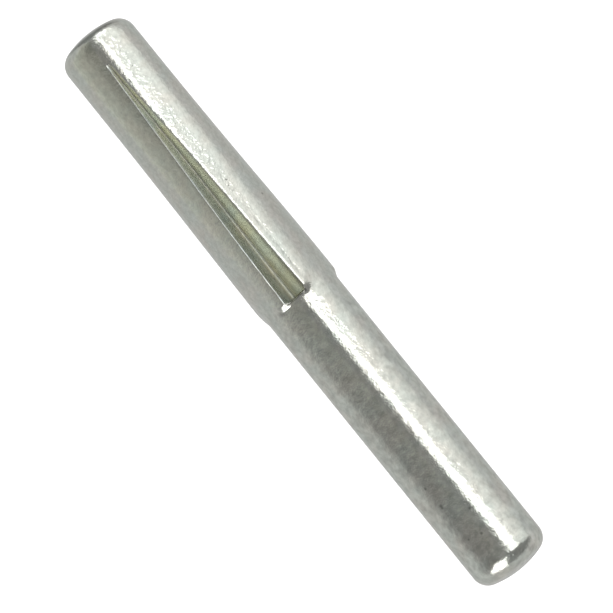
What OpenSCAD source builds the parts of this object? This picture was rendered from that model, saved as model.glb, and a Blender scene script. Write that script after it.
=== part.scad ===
// Half-length reverse-taper grooved pin, lying on its side along X with one groove up.
// Three grooves start from nothing at the -X end and are deepest at mid-length, where they stop.
// The metal that they push aside stands up as a bulge round each groove, highest at the two lips.

/* [Pin] */
// Diameter of the blank, which the plain half keeps
pin_d = 3; // [2:0.1:5]
// Length over both domed ends
pin_l = 24.7; // [18:0.1:50]
// Radius of the dome at each end
dome_r = 3.6; // [3:0.1:6]
// Radius of the rounded edge between dome and side
edge_r = 0.65; // [0.3:0.05:0.8]

/* [Grooves] */
// Length from the end of the pin to the end wall of each groove
groove_l = 12.2; // [8:0.1:16]
// Depth at the end wall, below the surface of the blank
groove_depth = 0.41; // [0.25:0.01:0.5]
// Angle between the two side walls
groove_angle = 88; // [80:1:104]
// Radius at the bottom
groove_bottom_r = 0.15; // [0.05:0.01:0.25]

/* [Raised metal] */
// Height of the lips above the blank, beside the end walls
lip_h = 0.15; // [0.08:0.005:0.18]
// How much smaller the bulge's radius is than the blank's
bulge_inset = 0.09; // [0.07:0.01:0.12]
// Length over which the bulges fall back to the blank at mid-length
runout_l = 0.75; // [0.3:0.05:1.5]

/* [Hidden] */
$fn = 96;
dome_fn = 360;
groove_count = 3;
pin_r = pin_d / 2;
lip_r = pin_r + lip_h;
// The rounded edge touches dome and side: its middle's distance from the end, and where it meets the dome
edge_x = dome_r - sqrt(pow(dome_r - edge_r, 2) - pow(pin_r - edge_r, 2));
dome_reach = (pin_r - edge_r) * dome_r / (dome_r - edge_r);
// Half the angle between the side walls
wall = groove_angle / 2;
// How far below the round bottom the two side walls would meet
bottom_drop = groove_bottom_r * (1 / sin(wall) - 1);
// Height of that meeting line above the pin's axis, at the end wall
meet_z = pin_r - groove_depth - bottom_drop;
// A lip's height above the axis and its distance from the groove's middle, where wall meets lip circle
lip_z = pow(sin(wall), 2) * meet_z + cos(wall) * sqrt(pow(lip_r, 2) - pow(sin(wall) * meet_z, 2));
lip_y = sqrt(pow(lip_r, 2) - pow(lip_z, 2));
// The bulge is a round set off the axis towards its groove, and set off more at the end wall
bulge_r = pin_r - bulge_inset;
bulge_offset = lip_z - sqrt(pow(bulge_r, 2) - pow(lip_y, 2));
bulge_tilt = atan((bulge_offset - bulge_inset) / (groove_l - edge_x));
groove_tilt = atan(groove_depth / groove_l);
// Between two grooves their bulges run together, and the pin lies on the two of them
rest_h = bulge_r + bulge_offset * cos(180 / groove_count);
// How far a cutter starts outside the pin
clear_l = 1;

module along_x() {
    rotate([0, 90, 0]) children();
}

// One copy for each groove, the first one up
module each_groove() {
    for (i = [0 : groove_count - 1])
        rotate([i * 360 / groove_count, 0, 0])
            translate([-pin_l / 2, 0, 0])
                children();
}

// One end's lengthways outline from the axis outwards, with the dome's top at the origin.
// A large rounded edge reaches past the axis, and only its part on this side counts.
module end_outline() {
    intersection() {
        translate([0, dome_r]) circle(dome_r, $fn = dome_fn);
        square([dome_reach, edge_x]);
    }
    intersection() {
        translate([pin_r - edge_r, edge_x]) circle(edge_r);
        square([pin_d, 2 * edge_x]);
    }
}

// Half the blank's lengthways outline
module blank_outline() {
    end_outline();
    translate([0, edge_x])
        square([pin_r, pin_l - 2 * edge_x]);
    translate([0, pin_l])
        mirror([0, 1])
            end_outline();
}

// The cut length of wire, with both its ends formed
module blank() {
    translate([-pin_l / 2, 0, 0])
        along_x()
            rotate_extrude()
                blank_outline();
}

// Everything inside a cone that crosses the lips one run-out before it crosses the blank
module runout_cone() {
    cone_r = 2 * pin_r;
    slope = runout_l / lip_h;
    translate([-pin_l / 2, 0, 0])
        along_x()
            rotate_extrude()
                polygon([
                    [0, 0],
                    [cone_r, 0],
                    [cone_r, groove_l - slope * (cone_r - pin_r)],
                    [0, groove_l + slope * pin_r]
                ]);
}

// The metal raised round each groove
module bulges() {
    intersection() {
        each_groove()
            translate([edge_x, 0, bulge_inset])
                rotate([0, 90 - bulge_tilt, 0])
                    translate([0, 0, edge_r])
                        cylinder(r = bulge_r, h = groove_l);
        runout_cone();
    }
}

// Across a groove, from its bottom upwards: the round bottom and the two side walls
module groove_section() {
    height = pin_r;
    side = [groove_bottom_r * cos(wall), groove_bottom_r * (1 - sin(wall))];
    top = [(height + bottom_drop) * tan(wall), height];
    translate([0, groove_bottom_r]) circle(groove_bottom_r);
    polygon([[-top[0], top[1]], [-side[0], side[1]], side, top]);
}

// What the grooving tool leaves empty
module grooves() {
    each_groove()
        translate([0, 0, pin_r])
            rotate([0, groove_tilt, 0])
                translate([-clear_l, 0, 0])
                    rotate([90, 0, 90])
                        linear_extrude(clear_l + groove_l / cos(groove_tilt))
                            groove_section();
}

module grooved_pin() {
    color("silver")
        translate([0, 0, rest_h])
            difference() {
                union() {
                    blank();
                    bulges();
                }
                grooves();
            }
}

grooved_pin();
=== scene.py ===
import bpy
import numpy as np
from mathutils import Matrix, Vector


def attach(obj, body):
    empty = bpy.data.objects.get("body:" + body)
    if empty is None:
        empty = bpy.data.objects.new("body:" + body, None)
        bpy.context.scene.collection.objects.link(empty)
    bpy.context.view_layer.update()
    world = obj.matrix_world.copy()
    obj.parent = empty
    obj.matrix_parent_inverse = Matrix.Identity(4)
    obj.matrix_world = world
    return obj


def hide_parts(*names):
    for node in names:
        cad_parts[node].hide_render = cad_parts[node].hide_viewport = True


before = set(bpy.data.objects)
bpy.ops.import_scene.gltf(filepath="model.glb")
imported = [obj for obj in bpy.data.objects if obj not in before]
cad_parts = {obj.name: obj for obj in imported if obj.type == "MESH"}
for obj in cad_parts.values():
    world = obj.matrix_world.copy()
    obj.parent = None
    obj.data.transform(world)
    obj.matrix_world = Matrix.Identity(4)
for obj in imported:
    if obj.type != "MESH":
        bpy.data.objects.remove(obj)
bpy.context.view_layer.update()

# ---- Grooved pin ----
# One piece of steel wire, cut to length and formed to a dome and a rounded edge at each end.
# Three grooves are pressed into one half. They deepen from nothing near its end to a wall at
# mid-length, and the steel that they push aside stands up as two lips beside each of them.

# Sizes are in millimetres. The pin lies along X, on its lips, with the grooved half at -X.
MM = 0.001
PIN_R = 1.5
HALF_L = 12.35
AXIS_Z = 1.5377
DOME_R = 3.6
EDGE_R = 0.65

# Each groove: its place in degrees round from the top, where its end wall stands along the pin,
# how high its lips stand against LIP_H, and how long its run-out is against the top groove's
GROOVES = [
    (0.0, -0.15, 0.985, 1.0),
    (120.0, -0.2, 1.07, 1.7),
    (240.0, -0.2, 1.17, 2.2),
]
GROOVE_L = 12.2

# Along a groove, s runs from 0 at the grooved end of the pin to 1 at the end wall, and stops at
# S_LAST. Half the width of its mouth is MOUTH_GROWTH s - MOUTH_EASE s^2, and it opens between
# the two values of MOUTH_OPENS.
S_LAST = 1.05
MOUTH_GROWTH = 0.63
MOUTH_EASE = 0.13
MOUTH_OPENS = (0.116, 0.134)
HAIRLINE = 0.0005

# The pressing tool leaned over from LEAN_FROM on. So each groove turns away from its place (in
# degrees, before leaning and by leaning), and its two sides differ. Where by_side() takes a pair
# of values, the first is for the side ahead, toward growing angle, and the second for the side
# behind. Where smooth() takes a pair, it is the start and the end of a step.
LEAN_FROM = 0.45
TURN = 1.5
TURN_LEANING = 6.2
MOUTH_SHARE = (1.087, 0.913)
MOUTH_SHARE_LEANING = (0.18, -0.36)

# Raised metal: height at the lip and where it grows along s, width of the swell beyond the lip,
# the rolled edge at the lip, and how far inside the mouth it eases to nothing
LIP_H = 0.14
LIP_GROWS = (0.15, 0.95)
SWELL_W = 1.43
ROLL_W = 0.12
ROLL_R = 0.6
ROLL_SHARE = (1.0, 0.4)
EASE_W = (0.3, 0.2)

# Run-out past the end wall: where it stops, how that slants over SLANT_W from the lip, how much
# later it stops on the longer ones, its length, and how that widens away from the lip
STOP = (0.15, 0.135)
STOP_SLANT = (-0.2, 0.1)
SLANT_W = 0.6
STOP_LATER = 0.29
RUNOUT_L = (0.34, 0.25)
RUNOUT_WIDENS = (0.9, 0.7)
RUNOUT_WIDENS_AT = (0.0, 0.25)
RUNOUT_WIDENS_W = 0.5

# Walls of the V, in degrees from its middle plane, how uneven the two are, and the angles in
# radians at which a wall stops rising and is dropped. The bottom is round over ROOT_W radians,
# the walls' crests lie CREST_DROP under the lips, and NO_CUT stands for a place with no groove.
WALL = 43.0
WALL_STEEPER_LEANING = 2.5
WALL_UNEVEN = 2.5
WALL_UNEVEN_LEANING = 12.0
LEAST_ANGLE = 0.15
LAST_ANGLE = 0.16
ROOT_W = 0.012
ROOT_W_MORE = 0.045
CREST_DROP = 0.024
NO_CUT = 9.0

# The end wall: its height, its half thickness, and over what length the groove is gone past it
END_WALL_H = 0.9
END_WALL_T = 0.08
END_WALL_OUT = (0.03, 0.2)

# Rounding of the edge between groove and land, and over what depth a place counts as in a groove
EDGE_ROUND = 0.003
EDGE_ROUND_AHEAD = 0.015
GROOVE_DEPTH = 0.03

# Painted shade in the grooves: a dark line along the crest of each lip, a band against the end
# wall, the bottom of the groove, and the wall ahead. The wall behind is made lighter and bluer.
# NEAR_GROOVE, IN_GROOVE and BESIDE_GROOVE are radians from a groove's middle.
NEAR_GROOVE = 0.5
IN_GROOVE = 0.6
BESIDE_GROOVE = 1.0
LINE_OPENS = (0.112, 0.12)
LINE_W = 0.035
LINE_NARROWER = 0.015
LINE_AHEAD_FROM = (-0.16, -0.08)
DULL_ENDS = (0.6, 0.85)
# Painted shade along the lip crests: how dark it is at these values of s
LINE_SHADE_AT = [0.14, 0.19, 0.25, 0.4, 0.6, 0.7, 0.9]
LINE_SHADE = [1.3, 0.8, 1.3, 1.2, 1.1, 1.0, 0.95]
# Painted shade against the end wall: its rise before the wall, its end past it, and how far
# inside the lip it stays
WALL_SHADE_FROM = (-0.12, -0.06)
WALL_SHADE_TO = 0.06
WALL_SHADE_INSIDE = (0.0, 0.1)
ROOT_FADES = (1.0, 2.6)
# Painted shade in the bottom of the groove, and how much more near the grooved end and where the
# groove begins
ROOT_SHADE = 0.3
ROOT_SHADE_MORE = 0.35
ROOT_TIP = (0.14, 0.3)
# Painted shade on the wall ahead: how dark along s, how it grows outwards, and where it starts
# from the middle
AHEAD_SHADE_AT = [0.40, 0.52, 0.65, 1.0]
AHEAD_SHADE = [0, 0.60, 0.85, 1.18]
AHEAD_SHADE_BASE = 0.34
AHEAD_SHADE_OUTWARD = 2.1
AHEAD_SHADE_FROM_MIDDLE = (0.2, 0.45)
# How much the wall behind is made lighter and bluer, and how much more as the tool leans
BEHIND_SHARE = 0.7
BEHIND_SHARE_LEANING = 0.3


def smooth(start, end, x):
    """A step from 0 at start to 1 at end that leaves and arrives level: 3 t^2 - 2 t^3."""
    t = np.clip((x - start) / (end - start), 0, 1)
    return t * t * (3 - 2 * t)


def by_side(ahead, pair):
    """The first of the pair ahead of a groove's middle, and the second behind it."""
    return np.where(ahead, pair[0], pair[1])


def end_outline(n_dome, n_edge):
    """Distance from the end and radius, from the axis outwards.

    The dome is a circle of radius DOME_R. The rounded edge is a circle of radius EDGE_R that
    touches the dome from inside and touches the side of the pin.
    """
    edge_x = DOME_R - np.sqrt((DOME_R - EDGE_R) ** 2 - (PIN_R - EDGE_R) ** 2)
    meet = np.arcsin((PIN_R - EDGE_R) / (DOME_R - EDGE_R))
    a = np.linspace(0, meet, n_dome + 1)[1:]
    b = np.linspace(meet, np.pi / 2, n_edge + 1)[1:]
    x = np.concatenate([DOME_R * (1 - np.cos(a)), edge_x - EDGE_R * np.cos(b)])
    r = np.concatenate([DOME_R * np.sin(a), PIN_R - EDGE_R + EDGE_R * np.sin(b)])
    return x, r


def raised_metal(x, across, ahead, lip_w, grown, end, run):
    """Height of the metal that a groove pushed up, at x along and across round from its middle.

    Outwards from the lip it falls with the square of what is left of SWELL_W, less a rolled
    edge that is the square of what is left of ROLL_W, over ROLL_R. It runs out along the pin in
    a smooth step that ends past the end wall, and inside the mouth it eases to nothing.
    """
    u = np.maximum(across - lip_w, 0)
    fall = LIP_H * grown * np.clip(1 - u / SWELL_W, 0, 1) ** 2
    roll = np.maximum(ROLL_W - u, 0) ** 2 / ROLL_R * grown * by_side(ahead, ROLL_SHARE)
    stop = end + by_side(ahead, STOP) + by_side(ahead, STOP_SLANT) * np.minimum(u, SLANT_W)
    stop = stop + STOP_LATER * (run - 1)
    wider = np.clip(u - by_side(ahead, RUNOUT_WIDENS_AT), 0, RUNOUT_WIDENS_W)
    length = run * (by_side(ahead, RUNOUT_L) + by_side(ahead, RUNOUT_WIDENS) * wider)
    kept = 1 - smooth(stop - length, stop, x)
    kept = kept * smooth(lip_w - by_side(ahead, EASE_W), lip_w, across)
    return (fall - roll) * kept


def groove_surface(x, signed, half_w, root_w, lean, grown, end):
    """Radius of a groove's surface at the angle signed from its middle.

    The two walls would meet at the height h above the axis, so that at the angle d from the
    middle the radius is h sin(w) / sin(w - d), where w is the wall's own angle. Taking the long
    side of the right triangle of d and root_w for d rounds the bottom. The end wall is a smooth
    step outwards.
    """
    wall = np.radians(WALL)
    crest_r = PIN_R + (LIP_H - CREST_DROP) * grown
    h = np.sqrt(crest_r**2 - half_w**2) - half_w / np.tan(wall)
    d = np.abs(signed)
    rounded = np.sqrt(d**2 + root_w**2)
    uneven = np.radians(WALL_UNEVEN + WALL_UNEVEN_LEANING * lean)
    wall = wall - np.radians(WALL_STEEPER_LEANING * lean) + uneven * signed / rounded
    r = h * np.sin(wall) / np.sin(np.maximum(wall - rounded, LEAST_ANGLE))
    r = np.where(d > wall - LAST_ANGLE, NO_CUT, r)
    r = r + END_WALL_H * smooth(end - END_WALL_T, end + END_WALL_T, x)
    return r + NO_CUT * smooth(end + END_WALL_OUT[0], end + END_WALL_OUT[1], x)


def skin(x, phi, plain_r):
    """Radius of the pin's surface at x along it and phi round it, and what its finish is there.

    The body is the plain radius plus the metal raised beside each groove. The surface is the
    lower of the body and the grooves, less a rounding where the two are nearly equal. The four
    other results run from 0 to about 1: how far a place is in a groove, how far in its bottom,
    how much painted shade it takes, and how much lighter and bluer its wall is made.
    """
    body = np.zeros(np.broadcast(x, phi).shape) + plain_r
    cut = np.full_like(body, NO_CUT)
    rounding = np.full_like(body, EDGE_ROUND)
    bottom, soil, line, film_and_wall_shade, lighter_share = (np.zeros_like(body) for _ in range(5))
    s = np.clip((x + HALF_L) / GROOVE_L, 0, S_LAST)
    lean = smooth(LEAN_FROM, 1.0, s)
    half_w = np.maximum(MOUTH_GROWTH * s - MOUTH_EASE * s**2, HAIRLINE)
    half_w = half_w * smooth(*MOUTH_OPENS, s) + HAIRLINE
    root_w = ROOT_W + ROOT_W_MORE * s**2
    line_w = LINE_W - LINE_NARROWER * smooth(*DULL_ENDS, s)
    for place, end, swell, run in GROOVES:
        middle = np.radians(place) - np.radians(TURN + TURN_LEANING * lean)
        signed = (phi - middle + np.pi) % (2 * np.pi) - np.pi
        d = np.abs(signed)
        ahead = signed > 0
        share = by_side(ahead, MOUTH_SHARE) + by_side(ahead, MOUTH_SHARE_LEANING) * lean
        lip_w = half_w * share
        across = PIN_R * d
        grown = swell * smooth(*LIP_GROWS, s)
        body = body + raised_metal(x, across, ahead, lip_w, grown, end, run)
        groove = groove_surface(x, signed, half_w, root_w, lean, grown, end)
        cut = np.minimum(cut, groove)
        rounding = np.maximum(rounding, EDGE_ROUND_AHEAD * (ahead & (d < BESIDE_GROOVE)))
        bottom = np.maximum(bottom, 1 - smooth(*ROOT_FADES, d / root_w))
        # Painted shade: a band in the groove against its end wall
        at_wall = smooth(end + WALL_SHADE_FROM[0], end + WALL_SHADE_FROM[1], x)
        at_wall = at_wall * (1 - smooth(end, end + WALL_SHADE_TO, x))
        inside = across < lip_w - by_side(ahead, WALL_SHADE_INSIDE)
        soil = np.maximum(soil, at_wall * inside)
        ends = smooth(end + LINE_AHEAD_FROM[0], end + LINE_AHEAD_FROM[1], x)
        lined = np.where(ahead, ends, 1.0) * (d < NEAR_GROOVE) * smooth(*LINE_OPENS, s)
        line = np.maximum(line, np.exp(-(((body - groove) / line_w) ** 2)) * lined)
        # Painted shade on the wall ahead, darker further along the groove and toward its lip
        ahead_shaded = np.interp(s, AHEAD_SHADE_AT, AHEAD_SHADE) * (AHEAD_SHADE_OUTWARD * d + AHEAD_SHADE_BASE)
        ahead_shaded = ahead_shaded * smooth(*AHEAD_SHADE_FROM_MIDDLE, across / lip_w)
        film_and_wall_shade = np.maximum(film_and_wall_shade, ahead_shaded * (ahead & (d < IN_GROOVE)))
        # The wall behind is made lighter and bluer
        lightened = (BEHIND_SHARE + BEHIND_SHARE_LEANING * lean) * (~ahead & (d < IN_GROOVE))
        lighter_share = np.maximum(lighter_share, lightened)
    nearly = np.clip(1 - np.abs(body - cut) / (2 * rounding), 0, 1)
    r = np.minimum(body, cut) - rounding * 0.5 * nearly**2
    depth = smooth(0.0, GROOVE_DEPTH, body - r)
    dull = 1 - smooth(*DULL_ENDS, s)
    tip = 1 - smooth(*ROOT_TIP, s)
    # Painted shade: a dark line along each lip's crest, where groove and body meet
    soil = np.maximum(soil, np.interp(s, LINE_SHADE_AT, LINE_SHADE) * line)
    # Painted shade in the bottom of each groove
    soil = np.maximum(soil, (ROOT_SHADE + ROOT_SHADE_MORE * (dull + tip)) * bottom * depth)
    soil = np.maximum(soil, film_and_wall_shade * depth)
    return r, depth, bottom * depth, soil, lighter_share * depth * (1 - bottom)


# The grid: rows from the axis at one end to the axis at the other, close together round the end
# walls, and columns a number of degrees apart, close together across each groove
DOME_ROWS, EDGE_ROWS = 6, 16
FINE_FROM, FINE_TO = -1.0, 0.4
GROOVED_ROWS, FINE_ROWS, PLAIN_ROWS = 76, 71, 44
THIRD_FROM, ACROSS_TO, THIRD_TO = -25, 25, 95
ACROSS_STEP, LAND_STEP = 0.625, 2.5
end_x, end_r = end_outline(DOME_ROWS, EDGE_ROWS)
side_from = HALF_L - end_x[-1]
side_x = np.concatenate(
    [
        np.linspace(-side_from, FINE_FROM, GROOVED_ROWS)[1:],
        np.linspace(FINE_FROM, FINE_TO, FINE_ROWS)[1:],
        np.linspace(FINE_TO, side_from, PLAIN_ROWS)[1:-1],
    ]
)
row_x = np.concatenate([-HALF_L + end_x, side_x, (HALF_L - end_x)[::-1]])
row_r = np.concatenate([end_r, np.full(len(side_x), PIN_R), end_r[::-1]])
groove_cols = np.arange(THIRD_FROM, ACROSS_TO, ACROSS_STEP)
third = np.concatenate([groove_cols, np.arange(ACROSS_TO, THIRD_TO, LAND_STEP)])
col = np.concatenate([np.radians(third) + np.radians(groove[0]) for groove in GROOVES])
r, in_groove, in_bottom, soil, lighter_share = skin(row_x[:, None], col[None, :], row_r[:, None])
n_row, n_col = r.shape
points = [np.broadcast_to(row_x[:, None], r.shape), r * np.sin(col), AXIS_Z + r * np.cos(col)]
poles = np.array([[-HALF_L, 0, AXIS_Z], [HALF_L, 0, AXIS_Z]])
points = np.concatenate([np.stack(points, -1).reshape(-1, 3), poles]) * MM
i, j = np.meshgrid(np.arange(n_row - 1), np.arange(n_col), indexing="ij")
j_next = (j + 1) % n_col
quads = np.stack(
    [i * n_col + j, i * n_col + j_next, (i + 1) * n_col + j_next, (i + 1) * n_col + j], -1
).reshape(-1, 4)
j = np.arange(n_col)
j_next = (j + 1) % n_col
pole = np.full(n_col, n_row * n_col)
last = (n_row - 1) * n_col
near_cap = np.stack([pole, j_next, j], -1)
far_cap = np.stack([pole + 1, last + j, last + j_next], -1)
mesh = bpy.data.meshes.new("grooved_pin_skin")
mesh.from_pydata(points.tolist(), [], quads.tolist() + near_cap.tolist() + far_cap.tolist())
mesh.update()
mesh.shade_smooth()

# Marks in the land: the tool's, broad near the grooved end and a line further on, beside each
# groove (stations along the pin, then degrees from the groove's middle, and width), and those
# on the plain half that start behind the top groove's end wall
TOOL_AT = [-12, -8, -5, -4, -3, -1.5]
TOOL_MIDDLE = [26, 24, 24.75, 25, 25, 25]
TOOL_W = [10, 10, 8, 6, 4, 3]
TOOL_DEPTH_AT = [-9, -5, -3]
TOOL_DEPTH = [1.7, 2.0, 1.6]
TOOL_STARTS = (-12.2, -11.5)
TOOL_STOPS = (-0.3, -1.2)
PLAIN_AT = [0.3, 1.5, 3.5]
PLAIN_MIDDLE = [18, 22, 27]
PLAIN_W = [9, 8, 5]
PLAIN_DEPTH_AT = [0.4, 1.5, 4.5, 8, 9.5, 12]
PLAIN_DEPTH = [1.1, 1.1, 0.4, 0.6, 0.3, 0.0]
PLAIN_STARTS = (0.0, 0.4)

# The bottom of a groove takes this much less of the groove's own finish
BOTTOM_LESS = 0.6


def marked_band(turned, at, middle, width):
    """A band along the pin: a bell curve of the angle from its middle, against its width."""
    middle = np.radians(np.interp(row_x, at, middle))[:, None]
    width = np.radians(np.interp(row_x, at, width))[:, None]
    return np.exp(-(((turned - middle) / width) ** 2))


def paint(name, values):
    """Stores a value for each point of the grid, and 0 for the two poles."""
    layer = mesh.attributes.new(name, "FLOAT", "POINT")
    layer.data.foreach_set("value", np.append(values.reshape(-1), [0, 0]).astype(np.float32))


from_groove = (col[None, :] + np.pi) % (2 * np.pi / 3) - np.pi / 3
tool_depth = smooth(*TOOL_STOPS, row_x) * smooth(*TOOL_STARTS, row_x)
tool_depth = tool_depth * np.interp(row_x, TOOL_DEPTH_AT, TOOL_DEPTH)
plain_depth = smooth(*PLAIN_STARTS, row_x) * np.interp(row_x, PLAIN_DEPTH_AT, PLAIN_DEPTH)
marks = marked_band(from_groove, TOOL_AT, TOOL_MIDDLE, TOOL_W) * tool_depth[:, None]
plain_marks = marked_band(col[None, :], PLAIN_AT, PLAIN_MIDDLE, PLAIN_W)
marks = marks + plain_marks * plain_depth[:, None]
paint("groove", in_groove - BOTTOM_LESS * in_bottom)
paint("root", in_bottom)
# Painted shade in and beside the grooves
paint("soil", soil)
# How much the wall behind is made lighter and bluer
paint("lighter_wall", lighter_share)
paint("marks", marks)

pin = bpy.data.objects.new("grooved_pin_skin", mesh)
bpy.context.scene.collection.objects.link(pin)
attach(pin, "root")
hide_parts("grooved_pin")

# Its zinc plate is thin and bright. The pins are tumbled together, so it is covered with shallow
# dents, and the clear passivation leaves a yellow-green film, strongest in the grooves.
# Noise scales are lumps to the metre, and heights are millimetres. Land and grooves each run
# between a cool and a warm colour, as the film is thinner or thicker.
WAVES_SCALE, WAVES_H = 1500.0, 0.0055
DENTS_SCALE, DENTS_H = 6500.0, 0.0065
GRAIN_SCALE, GRAIN_H = 14000.0, 0.0055
MARKS_SCALE, MARKS_H = 7500.0, 0.027
GROOVE_CALM = 0.3
SQUASH = (0.85, 1.0, 1.0)
ROUGH_LAND, ROUGH_GROOVE, ROUGH_BOTTOM = 0.19, 0.27, 0.5
LAND_COOL, LAND_WARM = (0.572, 0.603, 0.552, 1), (0.599, 0.595, 0.538, 1)
CUT_COOL, CUT_WARM = (0.545, 0.558, 0.440, 1), (0.588, 0.570, 0.408, 1)
FILM_SCALE, FILM_EDGES = 1100.0, (0.36, 0.64)
# Colour factors that make the wall behind lighter and bluer
BEHIND_LIGHTER = (1.60, 1.76, 2.26, 1)
CLOUD_SCALE, CLOUD_EDGES, CLOUD_SHADE = 5800.0, (0.3, 0.7), (0.91, 1.09)
BLOTCH_SCALE, BLOTCH_SHADE = 3100.0, 0.55
BLOTCH_FROM, BLOTCH_TO = -1.0, 1.0
# Painted shade: the stored value that darkens fully, and how dark it makes the colour
SHADE_FULL, SHADE_DARK = 1.4, 0.3

# Knocks in the end's edge and pits in the plating: each is mm along, degrees round from the top,
# then how far out from the axis for a knock, and its radius for a pit
KNOCKS = [(11.85, 24.0, 1.44), (11.85, 15.0, 1.44), (11.79, 7.1, 1.463)]
KNOCK_FLOOR, KNOCK_R, KNOCK_H = 0.01, 0.085, 0.01
PITS = [
    (8.02, -29.7, 0.065),
    (9.537, 2.5, 0.07),
    (10.49, -6.4, 0.07),
    (8.84, -27.6, 0.09),
    (8.93, -27.9, 0.075),
    (10.38, -26.7, 0.06),
    (-3.87, 62.0, 0.06),
]
PIT_FLOOR, PIT_DARK = 0.2, 0.5


def put(tree, node, **values):
    """Sets a node's inputs, or links them where the value is another node's output.

    An underscore in a name stands for a space, and in0, in1 and in2 are inputs by their order.
    """
    for name, value in values.items():
        order = name[2:] if name.startswith("in") else ""
        socket = node.inputs[int(order) if order.isdigit() else name.replace("_", " ")]
        if isinstance(value, bpy.types.NodeSocket):
            tree.links.new(value, socket)
        else:
            socket.default_value = value


def noise(tree, place, scale, detail):
    """Smooth noise about 0.5, with scale lumps to the metre and detail finer layers."""
    node = tree.nodes.new("ShaderNodeTexNoise")
    put(tree, node, Vector=place, Scale=scale, Detail=detail)
    return node.outputs["Fac"]


def between(tree, value, start, end, low=0.0, high=1.0, kind="LINEAR"):
    """Low where value is at start, high where it is at end, in proportion between them."""
    node = tree.nodes.new("ShaderNodeMapRange")
    node.interpolation_type = kind
    put(tree, node, Value=value, From_Min=start, From_Max=end, To_Min=low, To_Max=high)
    return node.outputs["Result"]


def calc(tree, operation, first, second, third=None):
    """The sum, difference or product of two values, or first times second plus third."""
    node = tree.nodes.new("ShaderNodeMath")
    node.operation = operation
    put(tree, node, in0=first, in1=second)
    if third is not None:
        put(tree, node, in2=third)
    return node.outputs[0]


def blend(tree, share, first, second, data="RGBA", kind="MIX"):
    """First where share is 0, and second, or second times first, where share is 1."""
    node = tree.nodes.new("ShaderNodeMix")
    node.data_type = data
    node.blend_type = kind
    put(tree, node, Factor=share, A=first, B=second)
    return node.outputs["Result"]


def bumped(tree, height, distance, over=None, strength=None):
    """The normal over a height of 0 to 1 that stands for distance, on top of another normal."""
    node = tree.nodes.new("ShaderNodeBump")
    put(tree, node, Height=height, Distance=distance)
    if over is not None:
        put(tree, node, Normal=over)
    if strength is not None:
        put(tree, node, Strength=strength)
    return node.outputs["Normal"]


def painted(tree, name):
    """What paint() stored under a name."""
    node = tree.nodes.new("ShaderNodeAttribute")
    node.attribute_name = name
    return node.outputs["Fac"]


def how_far(tree, place, along, turned, out):
    """Distance in metres from a spot on the pin, given along, round and out from its axis."""
    turned = np.radians(turned)
    spot = (along, out * np.sin(turned), AXIS_Z + out * np.cos(turned))
    node = tree.nodes.new("ShaderNodeVectorMath")
    node.operation = "DISTANCE"
    put(tree, node, in0=place, in1=[v * MM for v in spot])
    return node.outputs["Value"]


zinc = bpy.data.materials.new("zinc_plate")
zinc.use_nodes = True
tree = zinc.node_tree
metal = tree.nodes["Principled BSDF"]
place = tree.nodes.new("ShaderNodeTexCoord").outputs["Object"]
squash = tree.nodes.new("ShaderNodeMapping")
put(tree, squash, Vector=place, Scale=SQUASH)
squashed = squash.outputs["Vector"]
groove_share = painted(tree, "groove")
calm = between(tree, groove_share, 0.0, 1.0, 1.0, GROOVE_CALM)
grain = noise(tree, place, GRAIN_SCALE, 1.0)
normal = bumped(tree, grain, GRAIN_H * MM, strength=calm)
dents = noise(tree, squashed, DENTS_SCALE, 0.0)
normal = bumped(tree, dents, DENTS_H * MM, normal, calm)
waves = noise(tree, squashed, WAVES_SCALE, 0.0)
normal = bumped(tree, waves, WAVES_H * MM, normal, calm)
scuffs = noise(tree, squashed, MARKS_SCALE, 1.0)
scuffs = calc(tree, "MULTIPLY", scuffs, painted(tree, "marks"))
normal = bumped(tree, scuffs, MARKS_H * MM, normal)
for along, turned, out in KNOCKS:
    away = how_far(tree, place, along, turned, out)
    bowl = between(tree, away, KNOCK_FLOOR * MM, KNOCK_R * MM, kind="SMOOTHSTEP")
    normal = bumped(tree, bowl, KNOCK_H * MM, normal)
# This film is the passivation's own colour, thinner or thicker at random
film_and_wall_shade = between(tree, noise(tree, place, FILM_SCALE, 2.0), *FILM_EDGES)
on_land = blend(tree, film_and_wall_shade, LAND_COOL, LAND_WARM)
in_cut = blend(tree, film_and_wall_shade, CUT_COOL, CUT_WARM)
colour = blend(tree, groove_share, on_land, in_cut)
cloud = between(tree, noise(tree, place, CLOUD_SCALE, 3.0), *CLOUD_EDGES, *CLOUD_SHADE)
blotch = calc(tree, "SUBTRACT", noise(tree, place, BLOTCH_SCALE, 1.0), 0.5)
where = tree.nodes.new("ShaderNodeSeparateXYZ")
put(tree, where, in0=place)
plain = between(tree, where.outputs["X"], BLOTCH_FROM * MM, BLOTCH_TO * MM, 0.0, BLOTCH_SHADE)
shade = calc(tree, "ADD", cloud, calc(tree, "MULTIPLY", blotch, plain))
pitted = []
for along, turned, pit_r in PITS:
    away = how_far(tree, place, along, turned, PIN_R)
    pitted.append(between(tree, away, pit_r * PIT_FLOOR * MM, pit_r * MM, PIT_DARK, 1.0))
dark = pitted[0]
for pit in pitted[1:]:
    dark = calc(tree, "MULTIPLY", dark, pit)
# Painted shade darkens the colour at lip crests, end walls, groove bottoms and walls ahead
shade_factor = between(tree, painted(tree, "soil"), 0.0, SHADE_FULL, 1.0, SHADE_DARK)
shade = calc(tree, "MULTIPLY", shade, calc(tree, "MULTIPLY", dark, shade_factor))
colour = blend(tree, 1.0, colour, shade, kind="MULTIPLY")
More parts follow.
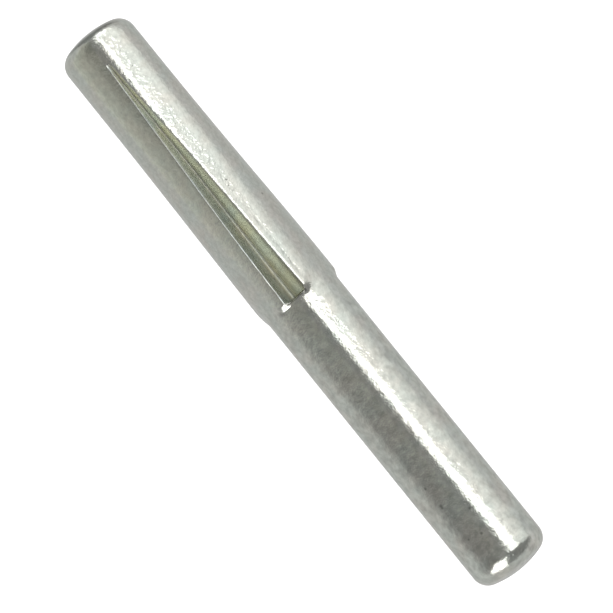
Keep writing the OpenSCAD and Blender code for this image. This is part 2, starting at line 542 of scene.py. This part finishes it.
# The wall behind each groove is made lighter and bluer
colour = blend(tree, painted(tree, "lighter_wall"), colour, BEHIND_LIGHTER, kind="MULTIPLY")
rough = blend(tree, groove_share, ROUGH_LAND, ROUGH_GROOVE, "FLOAT")
rough = blend(tree, painted(tree, "root"), rough, ROUGH_BOTTOM, "FLOAT")
put(tree, metal, Metallic=1.0, Base_Color=colour, Roughness=rough, Normal=normal)
mesh.materials.append(zinc)

# ---- Camera ----
# A macro lens that hangs 200 mm above the pin, almost square to it. It leans a little to the
# plain end and to one side, and it is turned so that the pin lies from corner to corner.
LEAN_ALONG = np.radians(3.5)
LEAN_ASIDE = np.radians(3.4)
LENS_TURN = np.radians(51.062)
LENS_AWAY = 200.0
AIM_RIGHT, AIM_UP = 0.121, -0.1953
away_xy = (np.sin(LEAN_ALONG), np.cos(LEAN_ALONG) * np.sin(LEAN_ASIDE))
view = Vector((*away_xy, np.cos(LEAN_ALONG) * np.cos(LEAN_ASIDE)))
along = (Vector((1, 0, 0)) - view * view.x).normalized()
across = view.cross(along)
right = along * np.cos(LENS_TURN) + across * np.sin(LENS_TURN)
up = across * np.cos(LENS_TURN) - along * np.sin(LENS_TURN)
aim = Vector((0, 0, AXIS_Z)) + right * AIM_RIGHT + up * AIM_UP
lens = bpy.data.cameras.new("camera")
lens.sensor_width = 36.0
lens.lens = 327.7
lens.clip_start = 0.01
camera = bpy.data.objects.new("camera", lens)
stance = Matrix((right, up, view)).transposed().to_4x4()
camera.matrix_world = Matrix.Translation((aim + view * LENS_AWAY) * MM) @ stance
bpy.context.scene.collection.objects.link(camera)
bpy.context.scene.camera = camera

# ---- Floor ----
# A matt white table top that the pin lies on. It is white to the eye, keeps the pin's soft
# shadow, and shows as a paler grey in the metal. From here on, sizes are in metres.
FLOOR_HALF = 3.0
FLOOR_GREY = (0.6, 0.6, 0.6, 1)
FLOOR_SEEN = 0.85
FLOOR_MIRRORED = 0.62
WHITE = (1, 1, 1, 1)


def flat(name, corners):
    """A flat sheet with the given corners, which is part of the room and not of the object."""
    outline = bpy.data.meshes.new(name)
    outline.from_pydata([Vector(c) for c in corners], [], [tuple(range(len(corners)))])
    sheet = bpy.data.objects.new(name, outline)
    bpy.context.scene.collection.objects.link(sheet)
    return sheet


square = [(-1, -1), (1, -1), (1, 1), (-1, 1)]
floor = flat("floor", [(FLOOR_HALF * x, FLOOR_HALF * y, 0) for x, y in square])
table_top = bpy.data.materials.new("table_top")
table_top.use_nodes = True
tree = table_top.node_tree
tree.nodes.clear()
finished = tree.nodes.new("ShaderNodeOutputMaterial")
matt = tree.nodes.new("ShaderNodeBsdfDiffuse")
put(tree, matt, Color=FLOOR_GREY)
ray = tree.nodes.new("ShaderNodeLightPath")
seen = tree.nodes.new("ShaderNodeEmission")
seen_share = calc(tree, "MULTIPLY", ray.outputs["Is Camera Ray"], FLOOR_SEEN)
put(tree, seen, Color=WHITE, Strength=seen_share)
mirrored = tree.nodes.new("ShaderNodeEmission")
put(tree, mirrored, Color=WHITE, Strength=FLOOR_MIRRORED)
both = tree.nodes.new("ShaderNodeAddShader")
put(tree, both, in0=matt.outputs[0], in1=seen.outputs[0])
mix = tree.nodes.new("ShaderNodeMixShader")
put(tree, mix, in0=ray.outputs["Is Glossy Ray"], in1=both.outputs[0], in2=mirrored.outputs[0])
put(tree, finished, Surface=mix.outputs[0])
floor.data.materials.append(table_top)

# ---- Cards and lights ----
# White and grey cards and a strip light stand round the pin, as on a bench for small bright
# parts. The metal shows them, and the camera doesn't. A card's glow may change over its own X
# and Z.
LONG_END = -0.9  # where the cards that run far out past the grooved end stop


def glow(name, strength, colour=(1, 1, 1)):
    """A finish that only shines, with the same strength all over."""
    finish = bpy.data.materials.new(name)
    finish.use_nodes = True
    tree = finish.node_tree
    tree.nodes.clear()
    out = tree.nodes.new("ShaderNodeOutputMaterial")
    light = tree.nodes.new("ShaderNodeEmission")
    put(tree, light, Color=(*colour, 1), Strength=strength)
    put(tree, out, Surface=light.outputs[0])
    return finish


def changing_glow(name):
    """A finish that only shines, its light, and the card's own X and Z to work it out from."""
    finish = glow(name, 1.0)
    tree = finish.node_tree
    light = next(node for node in tree.nodes if node.type == "EMISSION")
    where = tree.nodes.new("ShaderNodeSeparateXYZ")
    put(tree, where, in0=tree.nodes.new("ShaderNodeTexCoord").outputs["Object"])
    return finish, tree, light, where.outputs["X"], where.outputs["Z"]


def card(name, corners, finish):
    """A flat card that the camera doesn't see and that throws no shadow."""
    sheet = flat(name, corners)
    sheet.data.materials.append(finish)
    sheet.visible_camera = False
    sheet.visible_shadow = False
    return sheet


def overhead(radius, corners):
    """Corners at a distance from X and at an angle in degrees over from straight up."""
    turned = [(x, np.radians(angle)) for x, angle in corners]
    return [(x, radius * np.sin(angle), radius * np.cos(angle)) for x, angle in turned]


# A broad card over the upper side, a little dimmer far out past the grooved end
HIGH_R = 0.32
HIGH_END = 0.055
HIGH_EDGE, HIGH_TOP = 25.0, 50.0
HIGH_DIMS = (-0.040, -0.047)
HIGH_GLOW = (1.05, 0.93)
finish, tree, light, x, z = changing_glow("high_glow")
put(tree, light, Strength=between(tree, x, *HIGH_DIMS, *HIGH_GLOW))
edges = [(LONG_END, HIGH_EDGE), (HIGH_END, HIGH_EDGE), (HIGH_END, HIGH_TOP), (LONG_END, HIGH_TOP)]
card("high_side", overhead(HIGH_R, edges), finish)

# The strip light in front of it, whose edges bend a little along the pin
STRIP_R = 0.25
STRIP_GLOW = 2.6
STRIP_LOWER_EDGE = [
    (LONG_END, 21.0),
    (-0.042, 19.5),
    (-0.036, 16.5),
    (-0.0113, 13.0),
    (-0.0025, 14.2),
    (0.047, 14.2),
]
STRIP_UPPER_EDGE = [(0.047, 43.5), (0.0, 43.5), (-0.042, 33.5), (LONG_END, 33.0)]
strip = overhead(STRIP_R, STRIP_LOWER_EDGE + STRIP_UPPER_EDGE)
card("strip_light", strip, glow("strip_glow", STRIP_GLOW))

# A low card beside the pin, brighter upwards and toward the grooved end
SIDE_Y = 0.06
SIDE_END, SIDE_TOP = 0.02, 0.06
SIDE_BRIGHT_Z, SIDE_GLOW = (0.0, 0.0384), (0.8, 1.18)
SIDE_MORE_X, SIDE_MORE = (-0.001, -0.016), 0.22
SIDE_MOST_X, SIDE_MOST = (-0.08, -0.10), 1.0
finish, tree, light, x, z = changing_glow("side_glow")
upward = between(tree, z, *SIDE_BRIGHT_Z, *SIDE_GLOW)
more = calc(tree, "ADD", upward, between(tree, x, *SIDE_MORE_X, 0.0, SIDE_MORE))
most = calc(tree, "ADD", more, between(tree, x, *SIDE_MOST_X, 0.0, SIDE_MOST))
put(tree, light, Strength=most)
upright = [(LONG_END, 0.0), (SIDE_END, 0.0), (SIDE_END, SIDE_TOP), (LONG_END, SIDE_TOP)]
card("side_card", [(x, SIDE_Y, z) for x, z in upright], finish)

# White paper on the table under that card, and grey paper past the grooved end
PAPER_Z = 0.0002
BOUNCE_END, BOUNCE_Y = 0.2, 0.0065
BOUNCE_GLOW, BOUNCE_COLOUR = 0.70, (1.0, 0.99, 1.01)
near_edge = [(LONG_END, BOUNCE_Y, PAPER_Z), (BOUNCE_END, BOUNCE_Y, PAPER_Z)]
far_edge = [(BOUNCE_END, SIDE_Y, PAPER_Z), (LONG_END, SIDE_Y, PAPER_Z)]
card("bounce_card", near_edge + far_edge, glow("bounce_glow", BOUNCE_GLOW, BOUNCE_COLOUR))
GREY_X, GREY_FAR_X = -0.0131, -0.0148
GREY_NEAR_Y, GREY_FAR_Y = (-0.002, 0.003), (-0.1, 0.12)
GREY_GLOW = (0.62, 0.26)
finish, tree, light, x, z = changing_glow("far_glow")
put(tree, light, Strength=between(tree, x, GREY_X, GREY_FAR_X, *GREY_GLOW))
near_edge = [(GREY_X, y, PAPER_Z) for y in GREY_NEAR_Y]
far_edge = [(LONG_END, y, PAPER_Z) for y in GREY_FAR_Y]
card("far_card", [far_edge[0], *near_edge, far_edge[1]], finish)


def facing(x, y_edges, z_edges):
    """Corners of an upright card that faces along the pin."""
    (y0, y1), (z0, z1) = y_edges, z_edges
    return [(x, y0, z0), (x, y1, z0), (x, y1, z1), (x, y0, z1)]


# What stands past the two ends: a grey wall and a window, then a lamp over a low grey card
FAR_WALL = facing(LONG_END, (-0.2, 0.3), (0, 0.3))
FAR_WINDOW = facing(-0.5, (0.1, 1.2), (0.1, 0.7))
END_LAMP = facing(0.2, (-1.2, -0.05), (0.045, 0.5))
LOW_END = facing(0.21, (-0.6, 0.6), (0, 0.045))
card("far_wall", FAR_WALL, glow("far_wall_glow", 0.36))
card("far_window", FAR_WINDOW, glow("far_window_glow", 1.8))
card("end_card", END_LAMP, glow("end_glow", 3.0))
card("low_end", LOW_END, glow("low_glow", 0.62))

# The dark card on the lower side: darker upwards, and paler toward the grooved end, by a share
# that changes with its height; a little darker toward the plain end, and darker and more ochre
# in its upper corner past the grooved end
DARK_Y = -0.1
DARK_EDGE = [(LONG_END, 0), (0.09, 0), (0.032, 0.12), (0.026, 0.6), (LONG_END, 0.6)]
DARK_Z, DARK_GLOW = (0.0, 0.055), (0.63, 0.315)
PALER_X, PALER = (-0.0045, -0.0125), 0.185
PALER_TOP_Z = 0.16
PALER_SHARE = [(0.0, 0.6), (0.15, 0.58), (0.32, 0.93), (0.5, 1.0), (0.8, 0.68), (1.0, 0.62)]
DIM_X, DIM = (-0.005, 0.009), 0.10
CORNER_SLANT = 0.106
CORNER_X, CORNER_Z, CORNER_DARK = (-0.0125, -0.0165), (0.08, 0.22), 0.18
OCHRE_X, OCHRE = (-0.006, -0.016), (0.995, 1.01, 0.925, 1)
finish, tree, light, x, z = changing_glow("dark_side_glow")
upward = between(tree, z, *DARK_Z, *DARK_GLOW)
share = tree.nodes.new("ShaderNodeValToRGB")
put(tree, share, Fac=between(tree, z, 0.0, PALER_TOP_Z))
steps = share.color_ramp.elements
steps[0].color = (*[PALER_SHARE[0][1]] * 3, 1)
steps[1].color = (*[PALER_SHARE[-1][1]] * 3, 1)
for height, value in PALER_SHARE[1:-1]:
    steps.new(height).color = (*[value] * 3, 1)
paler = between(tree, x, *PALER_X, 0.0, PALER)
paler = calc(tree, "MULTIPLY", paler, share.outputs["Color"])
strength = calc(tree, "ADD", upward, paler)
strength = calc(tree, "SUBTRACT", strength, between(tree, x, *DIM_X, 0.0, DIM))
slanted = calc(tree, "MULTIPLY_ADD", z, CORNER_SLANT, x)
beyond = between(tree, slanted, *CORNER_X, 0.0, CORNER_DARK)
corner = calc(tree, "MULTIPLY", beyond, between(tree, z, *CORNER_Z))
put(tree, light, Strength=calc(tree, "SUBTRACT", strength, corner))
put(tree, light, Color=blend(tree, between(tree, x, *OCHRE_X), WHITE, OCHRE))
card("dark_side", [(x, DARK_Y, z) for x, z in DARK_EDGE], finish)

# The room gives an even white light
ROOM_GLOW = 0.30
room = bpy.data.worlds.new("room")
bpy.context.scene.world = room
room.use_nodes = True
put(room.node_tree, room.node_tree.nodes["Background"], Color=WHITE, Strength=ROOM_GLOW)
bpy.context.scene.view_settings.view_transform = "Standard"
